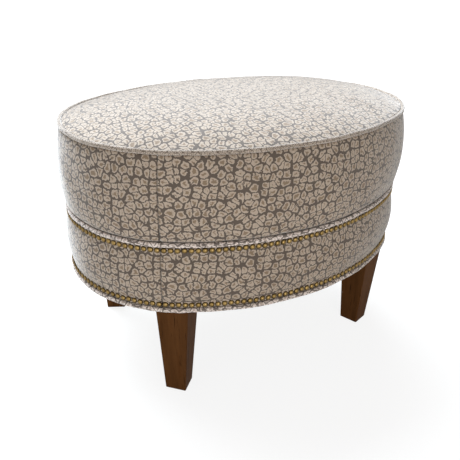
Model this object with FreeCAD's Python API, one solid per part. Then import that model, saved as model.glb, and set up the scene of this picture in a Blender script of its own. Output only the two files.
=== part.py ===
"""Oval upholstered footstool with a crowned seat, three rows of piping, two rows of
brass nails and four tapered legs. Millimetres, +Z up, the floor at z = 0."""

import FreeCAD, Part
import math
import os

from FreeCAD import Vector

# Plan: an oval of four tangent arcs, on the outer face of the cover at the nail rows
half_length = 299.5
half_width = 222.5
blend_angle = 60.0

# Heights
leg_height = 160.4
frame_height = 106.0
seat_height = 138.8
crown_rise = 22.4
crown_power = 3.3
crown_shares = (0.14, 0.3, 0.6)
flat_end_radius = 40.0

# Legs
leg_top_width = 52.0
leg_foot_width = 34.0
leg_edge_cut = 1.0
leg_angle = 57.6
leg_inset = 32.6
leg_turn_front_left = -15.0
leg_turn_front_right = -15.0
leg_turn_rear_left = 30.0
leg_turn_rear_right = -15.0

# Wooden frame
ply_thickness = 18.0
band_thickness = 4.0
base_ring_width = 78.0
deck_ring_width = 62.0
block_width = 80.0
block_depth = 44.0
post_width = 45.0
post_depth = 40.0

# Leg bolts and tee nuts
bolt_radius = 4.0
bolt_in_leg = 40.0
bolt_above_nut = 6.0
bolt_clearance = 0.05
nut_barrel_radius = 5.2
nut_barrel_length = 12.0
nut_flange_radius = 11.0
nut_flange_thickness = 1.6
nut_recess_gap = 1.0
bolt_bore_gap = 1.5
bolt_bore_above = 4.0

# Frame screws
screw_radius = 2.0
screw_head_radius = 4.0
screw_head_height = 3.0
screw_length = 44.0
screw_spacing = 46.0

# Webbing and burlap
strap_width = 50.0
strap_thickness = 1.2
strap_pitch = 74.0
long_strap_count = 3
cross_strap_count = 5
strap_end_inset = 18.0
burlap_thickness = 0.8

# Staples
staple_width = 11.0
staple_wire = 1.0
staple_leg = 7.0
staple_pitch = 40.0
staple_inset = 16.0
strap_staple_spacing = 26.0
strap_staple_inset = 10.0

# Soft layers
cover_thickness = 1.2
batting_thickness = 7.0
dust_cover_thickness = 0.6
dust_cover_inset = 10.0
turn_under = 28.0
layer_gap = 0.1

# Shape of the covers, as offsets from the plan
tuck_depth = 4.2
boxing_bulge = 8.5
boxing_foot_offset = 1.5
boxing_top_offset = 0.4
boxing_flange_drop = 14.0
boxing_tuck_rise = 2.5
welt_clearance = 1.2
boxing_foot_gap = 2.8
apron_bulge = 6.0
apron_tuck_rise = 2.2
cover_bend = 0.5
seat_edge_inset = 5.0
seat_edge_rise = 1.6

# Piping
welt_radius = 3.6
welt_sides = 12
cord_radius = 2.3
top_welt_offset = -1.2
mid_welt_offset = -0.4
bottom_welt_offset = 0.2
welt_gap = 0.2

# Nails
nail_pitch = 9.7
nail_head_radius = 4.6
nail_head_height = 2.6
nail_shank_radius = 0.9
nail_length = 13.0
nail_strip_margin = 0.4
lower_nail_gap = 0.8
upper_nail_drop = 4.2

# Sewn seams in the side covers, by the direction in which the cover faces there
seam_angle = 232.0

# Levels that follow from the sizes above
frame_bottom = leg_height + dust_cover_thickness + cover_thickness
deck_bottom = frame_bottom + frame_height - ply_thickness
deck_top = frame_bottom + frame_height
base_top = frame_bottom + ply_thickness
burlap_bottom = deck_top + 2 * strap_thickness
foam_bottom = burlap_bottom + burlap_thickness
top_welt_height = deck_top + seat_height
seat_edge_height = top_welt_height + seat_edge_rise
bottom_welt_height = frame_bottom - cover_thickness + welt_radius + welt_gap
lower_nail_height = bottom_welt_height + welt_radius + nail_head_radius + lower_nail_gap
upper_nail_height = deck_top - upper_nail_drop
mid_welt_height = upper_nail_height + nail_head_radius + welt_radius + welt_gap
boxing_foot_height = mid_welt_height + welt_radius + boxing_foot_gap
boxing_head_height = top_welt_height - welt_radius - welt_gap

# Offsets that follow from the sizes above
flange_inner = -tuck_depth - cover_thickness
band_outer = flange_inner - layer_gap
frame_outer = band_outer - band_thickness
strip_half = nail_head_radius + nail_strip_margin

centre_distance = (half_length - half_width) / (
    math.sin(math.radians(blend_angle)) + math.cos(math.radians(blend_angle)) - 1
)
end_centre = centre_distance * math.cos(math.radians(blend_angle))
side_centre = centre_distance * math.sin(math.radians(blend_angle))
end_radius = half_length - end_centre
side_radius = half_width + side_centre

up = Vector(0, 0, 1)


def sectors():
    """The four arcs of the plan: centre, radius, and the directions it faces."""
    b = blend_angle
    return [
        (Vector(end_centre, 0, 0), end_radius, -b, b),
        (Vector(0, -side_centre, 0), side_radius, b, 180 - b),
        (Vector(-end_centre, 0, 0), end_radius, 180 - b, 180 + b),
        (Vector(0, side_centre, 0), side_radius, 180 + b, 360 - b),
    ]


def sectors_between(start, end):
    """The stretches of the four arcs that face from start to end degrees."""
    found = []
    for turn in (-360, 0, 360):
        for centre, radius, first, last in sectors():
            low = max(start, first + turn)
            high = min(end, last + turn)
            if high - low > 1e-6:
                found.append((centre, radius, low, high))
    return sorted(found, key=lambda sector: sector[2])


def direction(angle):
    return Vector(math.cos(math.radians(angle)), math.sin(math.radians(angle)), 0)


def plan_point(angle, offset, height=0.0):
    """The point of the plan that faces angle, moved out by offset."""
    centre, radius, first, last = sectors_between(angle - 1e-3, angle + 1e-3)[0]
    return centre + direction(angle) * (radius + offset) + up * height


def plan_wire(offset, height):
    edges = []
    for centre, radius, first, last in sectors():
        points = [
            centre + direction(angle) * (radius + offset) + up * height
            for angle in (first, (first + last) / 2, last)
        ]
        edges.append(Part.Arc(*points).toShape())
    return Part.Wire(edges)


def plate(offset, bottom, thickness, hole_offset=None):
    """A flat oval plate, or a ring where it has a hole."""
    wires = [plan_wire(offset, bottom)]
    if hole_offset is not None:
        wires.append(plan_wire(hole_offset, bottom))
    face = Part.makeFace(wires, "Part::FaceMakerBullseye")
    return face.extrude(up * thickness)


def profile_edges(steps, centre, radius, angle):
    """Edges of a section that stands square to the plan. A step is a point (offset,
    height), or a pair of points: the middle and the end of an arc."""
    outward = direction(angle)

    def place(point):
        return centre + outward * (radius + point[0]) + up * point[1]

    edges = []
    here = place(steps[0])
    for step in steps[1:]:
        if isinstance(step[0], tuple):
            middle = place(step[0])
            there = place(step[1])
            edges.append(Part.Arc(here, middle, there).toShape())
        else:
            there = place(step)
            edges.append(Part.makeLine(here, there))
        here = there
    return edges


def solid_of(faces):
    shell = Part.makeShell(faces)
    shell.sewShape()
    solid = Part.makeSolid(shell)
    if solid.Volume < 0:
        solid.reverse()
    return solid


def swept_faces(steps, start, end):
    faces = []
    for centre, radius, first, last in sectors_between(start, end):
        for edge in profile_edges(steps, centre, radius, first):
            faces += edge.revolve(centre, up, last - first).Faces
    return faces


def swept_ring(steps):
    """A closed section carried all the way round the plan."""
    return solid_of(swept_faces(steps, -blend_angle, 360 - blend_angle))


def swept_part(steps, start, end):
    """A closed section carried from one direction to another, with flat ends."""
    faces = swept_faces(steps, start, end)
    for angle in (start, end):
        stretches = sectors_between(angle - 1e-3, angle + 1e-3)
        centre, radius = stretches[0][0], stretches[0][1]
        faces.append(Part.Face(Part.Wire(profile_edges(steps, centre, radius, angle))))
    return solid_of(faces)


def swept_cushion(steps):
    """An open section carried round, closed by flat ovals at its first and last points."""
    faces = swept_faces(steps, -blend_angle, 360 - blend_angle)
    last = steps[-1]
    if isinstance(last[0], tuple):
        last = last[1]
    for offset, height in (steps[0], last):
        faces.append(Part.Face(plan_wire(offset, height)))
    return solid_of(faces)


def turned(shape, angle, place):
    """A shape drawn about the origin with +X outward, set at a place facing angle."""
    shape = shape.copy()
    shape.rotate(Vector(0, 0, 0), up, angle)
    shape.translate(place)
    return shape


def cut_all(shape, tools):
    """The shape with holes for every tool that reaches into its box."""
    box = shape.BoundBox
    near = [tool for tool in tools if box.intersect(tool.BoundBox)]
    if not near:
        return shape
    result = shape.cut(near)
    return result.Solids[0] if len(result.Solids) == 1 else result


def even_angles(pitch):
    """Directions of points spaced evenly along the plan, starting at the seam."""
    stretches = sectors_between(seam_angle, seam_angle + 360)
    lengths = [radius * math.radians(high - low) for _, radius, low, high in stretches]
    count = round(sum(lengths) / pitch)
    angles = []
    for index in range(count):
        along = (index + 0.5) * sum(lengths) / count
        for (_, radius, low, high), length in zip(stretches, lengths):
            if along <= length:
                angles.append(low + math.degrees(along / radius))
                break
            along -= length
    return angles


def half_reach(across, offset, along_x):
    """How far the plan reaches along one axis, at a distance across it."""
    angle_low = 0.0
    angle_high = 90.0
    for _ in range(60):
        angle = (angle_low + angle_high) / 2
        point = plan_point(angle, offset)
        beyond = point.y > across if along_x else point.x < across
        if beyond:
            angle_high = angle
        else:
            angle_low = angle
    return point.x if along_x else point.y


def leg_places():
    """Each leg's name, the direction in which its stretch of cover faces, and its turn."""
    return [
        ("front_left", 180 + leg_angle, leg_turn_front_left),
        ("front_right", 360 - leg_angle, leg_turn_front_right),
        ("rear_left", 180 - leg_angle, leg_turn_rear_left),
        ("rear_right", leg_angle, leg_turn_rear_right),
    ]


def square_wire(width, height):
    """A square with its corners cut."""
    h = width / 2
    k = h - leg_edge_cut
    corners = [(h, -k), (h, k), (k, h), (-k, h), (-h, k), (-h, -k), (-k, -h), (k, -h)]
    points = [Vector(x, y, height) for x, y in corners]
    return Part.makePolygon(points + points[:1])


def make_leg():
    foot = square_wire(leg_foot_width, 0)
    top = square_wire(leg_top_width, leg_height)
    leg = Part.makeLoft([foot, top], True, True)
    hole_radius = bolt_radius + bolt_clearance
    hole = Part.makeCylinder(hole_radius, bolt_in_leg, Vector(0, 0, leg_height - bolt_in_leg))
    return leg.cut(hole)


def make_bolt():
    """A hanger bolt: its lower half screws into the leg, its upper half into the nut."""
    bottom = leg_height - bolt_in_leg
    top = base_top + bolt_above_nut
    bolt = Part.makeCylinder(bolt_radius, top - bottom, Vector(0, 0, bottom))
    return bolt.makeChamfer(bolt_radius / 4, [bolt.Edges[0], bolt.Edges[2]])


def make_nut():
    """A tee nut: a barrel in the base ring under a flange on top of it."""
    barrel = Part.makeCylinder(
        nut_barrel_radius, nut_barrel_length, Vector(0, 0, base_top - nut_barrel_length)
    )
    flange = Part.makeCylinder(nut_flange_radius, nut_flange_thickness, Vector(0, 0, base_top))
    height = nut_barrel_length + nut_flange_thickness
    bore = Part.makeCylinder(
        bolt_radius + bolt_clearance, height, Vector(0, 0, base_top - nut_barrel_length)
    )
    return barrel.fuse(flange).removeSplitter().cut(bore)


def make_screw():
    """A wood screw that points down, with the top of its head at the origin."""
    shank_top = -screw_head_height
    head = Part.makeCone(screw_radius, screw_head_radius, screw_head_height, Vector(0, 0, shank_top))
    shank = Part.makeCylinder(
        screw_radius, screw_length - screw_head_height, Vector(0, 0, -screw_length)
    )
    return head.fuse(shank).removeSplitter()


def screw_places():
    """Where the frame's screws go: point, and whether the screw points down."""
    places = []
    for _, angle, _ in leg_places():
        centre = plan_point(angle, frame_outer - block_depth / 2)
        side = direction(angle + 90) * (screw_spacing / 2)
        for point in (centre - side, centre + side):
            places.append((point + up * deck_top, True))
            places.append((point + up * frame_bottom, False))
    for angle in (0, 90, 180, 270):
        centre = plan_point(angle, frame_outer - post_depth / 2)
        places.append((centre + up * deck_top, True))
        places.append((centre + up * frame_bottom, False))
    return places


def make_screws():
    screws = []
    for place, down in screw_places():
        screw = make_screw()
        if not down:
            screw.rotate(Vector(0, 0, 0), Vector(1, 0, 0), 180)
        screw.translate(place)
        screws.append(screw)
    return screws


def frame_support(angle, width, depth):
    """An upright block between the rings, curved to the frame on its outer face."""
    height = frame_height - 2 * ply_thickness
    spare = 40.0
    box = Part.makeBox(depth + spare, width, height, Vector(-depth, -width / 2, 0))
    box = turned(box, angle, plan_point(angle, frame_outer, base_top))
    return box.common(plate(frame_outer, base_top, height))


def make_blocks():
    """One block over each leg, hollowed below for the tee nut and the bolt's end."""
    blocks = []
    for name, angle, _ in leg_places():
        block = frame_support(angle, block_width, block_depth)
        place = plan_point(angle, -leg_inset, base_top)
        recess_radius = nut_flange_radius + nut_recess_gap
        recess = Part.makeCylinder(recess_radius, nut_flange_thickness + nut_recess_gap, place)
        bore_radius = bolt_radius + bolt_bore_gap
        bore = Part.makeCylinder(bore_radius, bolt_above_nut + bolt_bore_above, place)
        blocks.append((name, block.cut([recess, bore])))
    return blocks


def strap_section(count, over_first, reach):
    """The side view of a strap woven over and under the straps that cross it."""
    low = 0.0
    high = strap_thickness
    ramp = (strap_pitch - strap_width) / 2
    first = -(count - 1) / 2 * strap_pitch
    lower = [(-reach, low)]
    over = over_first
    for index in range(count):
        middle = first + index * strap_pitch
        edge_low = middle - strap_width / 2
        edge_high = middle + strap_width / 2
        if over:
            lower += [(edge_low - ramp, low), (edge_low, high)]
            lower += [(edge_high, high), (edge_high + ramp, low)]
        over = not over
    lower.append((reach, low))
    upper = [(along, height + strap_thickness) for along, height in reversed(lower)]
    return lower + upper


def make_strap(along_x, index, count, crossing_count):
    """One strap, cut square at both ends on the deck ring."""
    across = (index - (count - 1) / 2) * strap_pitch
    reach = half_reach(abs(across) + strap_width / 2, -strap_end_inset, along_x)
    over_first = (index % 2 == 0) == along_x
    points = []
    for along, height in strap_section(crossing_count, over_first, reach):
        level = deck_top + height
        if along_x:
            points.append(Vector(along, across - strap_width / 2, level))
        else:
            points.append(Vector(across - strap_width / 2, along, level))
    face = Part.Face(Part.makePolygon(points + points[:1]))
    way = Vector(0, 1, 0) if along_x else Vector(1, 0, 0)
    return face.extrude(way * strap_width)


def make_staple():
    """A staple that points down, its crown along Y with its underside at the origin."""
    half = staple_width / 2
    outline = [
        Vector(0, -half, -staple_leg),
        Vector(0, -half, staple_wire),
        Vector(0, half, staple_wire),
        Vector(0, half, -staple_leg),
        Vector(0, half - staple_wire, -staple_leg),
        Vector(0, half - staple_wire, 0),
        Vector(0, -half + staple_wire, 0),
        Vector(0, -half + staple_wire, -staple_leg),
    ]
    face = Part.Face(Part.makePolygon(outline + outline[:1]))
    staple = face.extrude(Vector(staple_wire, 0, 0))
    staple.translate(Vector(-staple_wire / 2, 0, 0))
    return staple


def strap_staples():
    """Two staples across each end of each strap."""
    staples = []
    for along_x, count in ((True, long_strap_count), (False, cross_strap_count)):
        for index in range(count):
            across = (index - (count - 1) / 2) * strap_pitch
            reach = half_reach(abs(across) + strap_width / 2, -strap_end_inset, along_x)
            for end in (-1, 1):
                for side in (-0.5, 0.5):
                    along = end * (reach - strap_staple_inset)
                    beside = across + side * strap_staple_spacing
                    x, y = (along, beside) if along_x else (beside, along)
                    angle = 0 if along_x else 90
                    place = Vector(x, y, deck_top + strap_thickness)
                    staples.append(turned(make_staple(), angle, place))
    return staples


def dust_staples():
    """Staples all round the edge of the dust cover, pointing up."""
    staples = []
    for angle in even_angles(staple_pitch):
        staple = make_staple()
        staple.rotate(Vector(0, 0, 0), Vector(0, 1, 0), 180)
        place = plan_point(angle, -staple_inset, leg_height)
        foot_reach = leg_top_width / 2 * math.sqrt(2) + staple_width
        near_leg = any(
            place.distanceToPoint(plan_point(leg, -leg_inset, leg_height)) < foot_reach
            for _, leg, _ in leg_places()
        )
        if not near_leg:
            staples.append(turned(staple, angle, place))
    return staples


def make_nail():
    """A nail along X: a domed head on the cover's face, and its shank going inward."""
    top = Vector(nail_head_height, 0, 0)
    rim = Vector(0, nail_head_radius, 0)
    dome_radius = (nail_head_radius**2 + nail_head_height**2) / (2 * nail_head_height)
    half_turn = math.asin(nail_head_radius / dome_radius) / 2
    middle = Vector(
        nail_head_height - dome_radius * (1 - math.cos(half_turn)),
        dome_radius * math.sin(half_turn),
        0,
    )
    shank_top = Vector(0, nail_shank_radius, 0)
    shank_end = Vector(-nail_length, nail_shank_radius, 0)
    tip = Vector(-nail_length, 0, 0)
    edges = [
        Part.Arc(top, middle, rim).toShape(),
        Part.makeLine(rim, shank_top),
        Part.makeLine(shank_top, shank_end),
        Part.makeLine(shank_end, tip),
        Part.makeLine(tip, top),
    ]
    face = Part.Face(Part.Wire(edges))
    return face.revolve(Vector(0, 0, 0), Vector(1, 0, 0), 360)


def nail_row(height):
    nail = make_nail()
    return [turned(nail, angle, plan_point(angle, 0, height)) for angle in even_angles(nail_pitch)]


def nail_holes(height, start=0, end=360):
    """Cutters for the shanks of the nails that face from start to end degrees."""
    hole = Part.makeCylinder(nail_shank_radius, nail_length + 1, Vector(1, 0, 0), Vector(-1, 0, 0))
    return [
        turned(hole, angle, plan_point(angle, 0, height))
        for angle in even_angles(nail_pitch)
        if (angle - start) % 360 <= end - start
    ]


def side_offset(height):
    """How far the seat's side cover stands out at a height: an arc through three points."""
    foot = (boxing_foot_offset, boxing_foot_height)
    bulge = (boxing_bulge, (boxing_foot_height + boxing_head_height) / 2)
    head = (boxing_top_offset, boxing_head_height)
    circle = Part.Circle(Vector(*foot, 0), Vector(*bulge, 0), Vector(*head, 0))
    return circle.Center.x + math.sqrt(circle.Radius**2 - (height - circle.Center.y) ** 2)


def side_arc(shrink, low, high):
    """The side of the seat as an arc, drawn in by the layers over it."""
    middle = (low + high) / 2
    start = (side_offset(low) - shrink, low)
    return [start, ((side_offset(middle) - shrink, middle), (side_offset(high) - shrink, high))]


def crown_height(inset):
    """Rise of the seat's top above its edge, at a distance in from that edge."""
    span = half_width - seat_edge_inset
    return crown_rise * (1 - (1 - inset / span) ** crown_power)


def crown_steps(inset, drop):
    """The seat's top as two arcs from its edge to its flat middle, inset and lowered."""
    flat = end_radius - flat_end_radius - seat_edge_inset

    def point(share):
        across = share * flat
        shift = inset * (1 - share)
        return (-seat_edge_inset - across - shift, seat_edge_height + crown_height(across) - drop)

    first, second, third = crown_shares
    return [point(0.0), (point(first), point(second)), (point(third), point(1.0))]


def filling_steps(shrink):
    """The outline of the seat's filling, drawn in by the layers over it."""
    lower = boxing_foot_height + layer_gap
    upper = boxing_head_height - welt_clearance - shrink
    foot = flange_inner + cover_thickness - shrink
    steps = [(foot, foam_bottom), (foot, boxing_foot_height - boxing_tuck_rise)]
    steps += side_arc(shrink, lower, upper)
    return steps + crown_steps(shrink + welt_clearance, shrink)


def boxing_steps():
    """The section of the seat's side cover: a flange behind the piping, then the bulge."""
    flange_low = deck_top - boxing_flange_drop
    tuck = boxing_foot_height - boxing_tuck_rise
    outer = [(-tuck_depth, flange_low), (-tuck_depth, tuck - cover_bend)]
    outer += side_arc(0, boxing_foot_height, boxing_head_height)
    inner = side_arc(cover_thickness, boxing_foot_height, boxing_head_height)
    turn_back = [inner[1][1], (inner[1][0], inner[0])]
    return outer + turn_back + [(flange_inner, tuck), (flange_inner, flange_low), outer[0]]


def apron_levels():
    """Heights at which the apron's cover changes course, from its foot to its top edge."""
    return (
        bottom_welt_height + apron_tuck_rise,
        lower_nail_height - strip_half,
        lower_nail_height + strip_half,
        upper_nail_height - strip_half,
        upper_nail_height + nail_head_radius,
    )


def apron_cover_steps():
    """The section of the apron's cover, turned under the base ring at its foot."""
    tuck_top, strip_low, bulge_low, bulge_high, edge = apron_levels()
    middle = (bulge_low + bulge_high) / 2
    t = cover_thickness
    low = frame_bottom - t
    outer = [
        (-tuck_depth, low),
        (-tuck_depth, tuck_top),
        (0, strip_low),
        (0, bulge_low),
        ((apron_bulge, middle), (0, bulge_high)),
        (0, edge),
    ]
    inner = [
        (-t, edge),
        (-t, bulge_high),
        ((apron_bulge - t, middle), (-t, bulge_low)),
        (-t, strip_low + cover_bend),
        (-tuck_depth - t, tuck_top + cover_bend),
        (-tuck_depth - t, frame_bottom),
        (-turn_under, frame_bottom),
        (-turn_under, low),
    ]
    return outer + inner + outer[:1]


def apron_padding_steps():
    """The section of the padding between the band and the apron's cover."""
    bulge_low, bulge_high = apron_levels()[2:4]
    middle = (bulge_low + bulge_high) / 2
    skin = cover_thickness + layer_gap
    flange_low = deck_top - boxing_flange_drop - layer_gap
    return [
        (flange_inner, bulge_low),
        (-skin, bulge_low),
        ((apron_bulge - skin, middle), (-skin, bulge_high)),
        (-tuck_depth + layer_gap, bulge_high),
        (-tuck_depth + layer_gap, flange_low),
        (flange_inner, flange_low),
        (flange_inner, bulge_low),
    ]


def band_steps():
    return [
        (band_outer, frame_bottom),
        (band_outer, deck_top),
        (frame_outer, deck_top),
        (frame_outer, frame_bottom),
        (band_outer, frame_bottom),
    ]


def round_steps(offset, height, radius):
    """A round section as two half-turn arcs, each drawn through its middle."""
    return [
        (offset + radius, height),
        ((offset, height + radius), (offset - radius, height)),
        ((offset, height - radius), (offset + radius, height)),
    ]


def many_sided_steps(offset, height, radius):
    """A nearly round section with flat sides, its corners on a circle."""
    steps = []
    for corner in range(welt_sides):
        turn = 2 * math.pi * (corner + 0.5) / welt_sides
        steps.append((offset + radius * math.cos(turn), height + radius * math.sin(turn)))
    return steps + steps[:1]


def make_welt(offset, height):
    """A tube of folded cover fabric."""
    outside = swept_ring(many_sided_steps(offset, height, welt_radius))
    inner_radius = (cord_radius + layer_gap) / math.cos(math.pi / welt_sides)
    inside = swept_ring(many_sided_steps(offset, height, inner_radius))
    return outside.cut(inside)


def make_cord(offset, height):
    """The cord inside the piping."""
    return swept_ring(round_steps(offset, height, cord_radius))


def make_top_panel():
    """The cover of the seat's top, crowned, with an even thickness."""
    outer = crown_steps(0, 0)
    inner = crown_steps(0, cover_thickness)
    steps = [outer[2][1], (outer[2][0], outer[1][1]), (outer[1][0], outer[0])]
    return swept_cushion(steps + inner)


def make_foam():
    return swept_cushion(filling_steps(cover_thickness + batting_thickness + 2 * layer_gap))


def make_batting():
    """A soft wrap over the foam's top and sides, open below."""
    outside = swept_cushion(filling_steps(cover_thickness + layer_gap))
    inside = swept_cushion(filling_steps(cover_thickness + batting_thickness + layer_gap))
    return outside.cut(inside)


def make_parts():
    parts = {}
    lower_holes = nail_holes(lower_nail_height)
    upper_holes = nail_holes(upper_nail_height)
    screws = make_screws()
    top_staples = strap_staples()
    under_staples = dust_staples()
    nuts = []
    bolts = []

    for name, angle, turn in leg_places():
        place = plan_point(angle, -leg_inset)
        parts["leg_" + name] = turned(make_leg(), angle + turn, place)
        bolts.append(turned(make_bolt(), 0, place))
        nuts.append(turned(make_nut(), 0, place))
    parts["hanger_bolts"] = Part.makeCompound(bolts)
    parts["tee_nuts"] = Part.makeCompound(nuts)

    for name, block in make_blocks():
        parts["leg_block_" + name] = cut_all(block, screws)
    for name, angle in (("right", 0), ("rear", 90), ("left", 180), ("front", 270)):
        post = frame_support(angle, post_width, post_depth)
        parts["frame_post_" + name] = cut_all(post, screws)
    parts["frame_screws"] = Part.makeCompound(screws)

    bolt_holes = []
    for _, angle, _ in leg_places():
        place = plan_point(angle, -leg_inset, leg_height)
        hole_length = base_top - leg_height + bolt_above_nut
        bolt_holes.append(Part.makeCylinder(bolt_radius + bolt_clearance, hole_length, place))
        barrel_place = plan_point(angle, -leg_inset, base_top - nut_barrel_length)
        bolt_holes.append(Part.makeCylinder(nut_barrel_radius, nut_barrel_length, barrel_place))
    base = plate(frame_outer, frame_bottom, ply_thickness, frame_outer - base_ring_width)
    parts["base_ring"] = cut_all(base, screws + bolt_holes + under_staples + lower_holes)
    deck = plate(frame_outer, deck_bottom, ply_thickness, frame_outer - deck_ring_width)
    parts["deck_ring"] = cut_all(deck, screws + top_staples + upper_holes)
    quarters = (("rear_right", 0), ("rear_left", 90), ("front_left", 180), ("front_right", 270))
    for name, start in quarters:
        band = swept_part(band_steps(), start, start + 90)
        holes = nail_holes(lower_nail_height, start, start + 90)
        holes += nail_holes(upper_nail_height, start, start + 90)
        parts["apron_band_" + name] = cut_all(band, holes)

    for name, along_x, count, crossing in (
        ("long", True, long_strap_count, cross_strap_count),
        ("cross", False, cross_strap_count, long_strap_count),
    ):
        for index in range(count):
            strap = make_strap(along_x, index, count, crossing)
            parts["webbing_%s_%d" % (name, index + 1)] = cut_all(strap, top_staples)
    parts["webbing_staples"] = Part.makeCompound(top_staples)

    parts["burlap_deck"] = plate(frame_outer, burlap_bottom, burlap_thickness)
    parts["seat_foam"] = make_foam()
    parts["seat_batting"] = make_batting()
    parts["seat_top_panel"] = make_top_panel()

    for name, start in (("front", seam_angle - 360), ("rear", seam_angle - 180)):
        upper_half = nail_holes(upper_nail_height, start, start + 180)
        lower_half = nail_holes(lower_nail_height, start, start + 180)
        boxing = swept_part(boxing_steps(), start, start + 180)
        parts["seat_boxing_" + name] = cut_all(boxing, upper_half)
        cover = swept_part(apron_cover_steps(), start, start + 180)
        parts["apron_cover_" + name] = cut_all(cover, lower_half + upper_half + under_staples)
    parts["apron_padding"] = swept_ring(apron_padding_steps())

    for name, offset, height in (
        ("top", top_welt_offset, top_welt_height),
        ("mid", mid_welt_offset, mid_welt_height),
        ("bottom", bottom_welt_offset, bottom_welt_height),
    ):
        parts[name + "_welt"] = make_welt(offset, height)
        parts[name + "_welt_cord"] = make_cord(offset, height)
    parts["upper_nails"] = Part.makeCompound(nail_row(upper_nail_height))
    parts["lower_nails"] = Part.makeCompound(nail_row(lower_nail_height))

    dust = plate(-dust_cover_inset, leg_height, dust_cover_thickness)
    parts["dust_cover"] = cut_all(dust, bolt_holes + under_staples)
    parts["dust_cover_staples"] = Part.makeCompound(under_staples)
    return parts


os.makedirs("parts", exist_ok=True)
for node, shape in make_parts().items():
    print(node, len(shape.Solids), shape.isValid(), round(shape.Volume / 1000, 1), "cm3")
    shape.exportStep("parts/%s.step" % node)
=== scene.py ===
"""The looks of an oval upholstered footstool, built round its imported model: printed covers,
piping, domed brass nails, walnut legs and the layers inside. Metres, +Z up."""

import math
import random

import bmesh
import bpy
import numpy as np
from mathutils import Matrix, Vector


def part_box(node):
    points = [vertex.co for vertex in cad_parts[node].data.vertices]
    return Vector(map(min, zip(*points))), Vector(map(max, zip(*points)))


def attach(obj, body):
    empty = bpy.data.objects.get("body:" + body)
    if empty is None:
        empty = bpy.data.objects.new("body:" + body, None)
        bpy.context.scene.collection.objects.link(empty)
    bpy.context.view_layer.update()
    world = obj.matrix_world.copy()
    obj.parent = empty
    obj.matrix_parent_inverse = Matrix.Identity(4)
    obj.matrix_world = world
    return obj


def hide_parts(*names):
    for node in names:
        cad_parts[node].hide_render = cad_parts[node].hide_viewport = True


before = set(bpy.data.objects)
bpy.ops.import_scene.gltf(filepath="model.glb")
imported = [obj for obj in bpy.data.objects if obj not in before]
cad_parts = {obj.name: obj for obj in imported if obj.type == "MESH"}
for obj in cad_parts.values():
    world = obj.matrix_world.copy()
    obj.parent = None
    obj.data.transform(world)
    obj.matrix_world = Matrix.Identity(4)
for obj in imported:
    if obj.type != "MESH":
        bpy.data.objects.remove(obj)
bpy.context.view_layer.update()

# Plan: an oval of four tangent arcs, on the face of the cover at the nail rows
rings_to_face = 0.0095
half_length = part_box("deck_ring")[1].x + rings_to_face
half_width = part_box("deck_ring")[1].y + rings_to_face
blend_angle = math.radians(60)
seam_angle = math.radians(232)

# Levels, read from the frame
deck_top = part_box("deck_ring")[1].z
frame_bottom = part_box("base_ring")[0].z
foam_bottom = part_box("seat_foam")[0].z
top_row = sum(corner.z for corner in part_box("top_welt")) / 2
mid_row = sum(corner.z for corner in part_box("mid_welt")) / 2
bottom_row = sum(corner.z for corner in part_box("bottom_welt")) / 2
upper_nail_row = sum(corner.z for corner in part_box("upper_nails")) / 2
lower_nail_row = sum(corner.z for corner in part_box("lower_nails")) / 2

# Covers: distances out from the plan and along the height
cover = 0.0012
batting = 0.007
gap = 0.0001
tuck = 0.0042
tuck_round = 0.0008
boxing_foot = mid_row + 0.0064
boxing_head = top_row - 0.0038
boxing_foot_out = 0.0015
boxing_bulge_out = 0.0085
boxing_head_out = -0.0008
boxing_end = deck_top - 0.013
boxing_turn = boxing_foot - 0.0028
boxing_lip = ((boxing_head_out - 0.0012, boxing_head + 0.0006), (-0.0048, boxing_head + 0.0002))
apron_bulge_out = 0.006
apron_tuck_top = bottom_row + 0.0022
padding_step = deck_top - 0.0142
turn_under = 0.028
seat_edge_in = 0.005
seat_edge_up = 0.0016
flange_head = top_row - 0.0008
flange_foot = top_row - 0.003
filling_clear = 0.0012
crown_rise = 0.0224
crown_power = 3.3

# Unevenness: depths, and how far each one reaches from its seam
boxing_lumps = 0.0007
head_puckers = 0.00042
head_pucker_reach = 0.012
foot_puckers = 0.00036
foot_pucker_reach = 0.010
apron_lumps = 0.0006
nail_beat = 0.00022
nail_pulls = 0.0003
nail_pull_reach = 0.007
crown_lumps = 0.0008
crown_pucker_share = 0.6
crown_pucker_reach = 0.010
seam_depth = 0.0015
seam_width = 0.0012
seam_shoulder_depth = 0.0005
seam_shoulder_width = 0.006
filling_give = 0.0021
filling_give_width = 0.007
row_wander = 0.00045

# Piping
welt_radius = 0.0036
welt_slant = math.radians(42)
welt_crease_pitch = 0.0046
welt_crease_depth = 0.00010
welt_fatness = 0.00016
welt_slack = 0.0001
welt_stray = 0.00022
top_welt_out = -0.0012
mid_welt_out = -0.0004
bottom_welt_out = 0.0002

# Nails
nail_pitch = 0.0097
nail_radius = 0.0046
nail_height = 0.0031
nail_shank = 0.0009
nail_length = 0.013
nail_lean = 2.5
nail_shrink = 0.015
nail_slip_along = 0.00012
nail_slip_up = 0.00022

# Mesh steps
step_along = 0.003
step_up = 0.0028
apron_step_up = 0.0019
weld_distance = 4e-6

centre_distance = (half_length - half_width) / (math.sin(blend_angle) + math.cos(blend_angle) - 1)
end_centre = centre_distance * math.cos(blend_angle)
side_centre = centre_distance * math.sin(blend_angle)
end_radius = half_length - end_centre
side_radius = half_width + side_centre


# Plan

def stretches(start):
    """The plan's arcs in turn from a direction: radius, first direction, last direction."""
    b = blend_angle
    arcs = [
        (end_radius, -b, b),
        (side_radius, b, math.pi - b),
        (end_radius, math.pi - b, math.pi + b),
        (side_radius, math.pi + b, 2 * math.pi - b),
    ]
    found = []
    for turn in range(-2, 3):
        for radius, first, last in arcs:
            low = max(start, first + turn * 2 * math.pi)
            high = min(start + 2 * math.pi, last + turn * 2 * math.pi)
            if high - low > 1e-9:
                found.append((radius, low, high))
    return sorted(found, key=lambda arc: arc[1])


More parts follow.
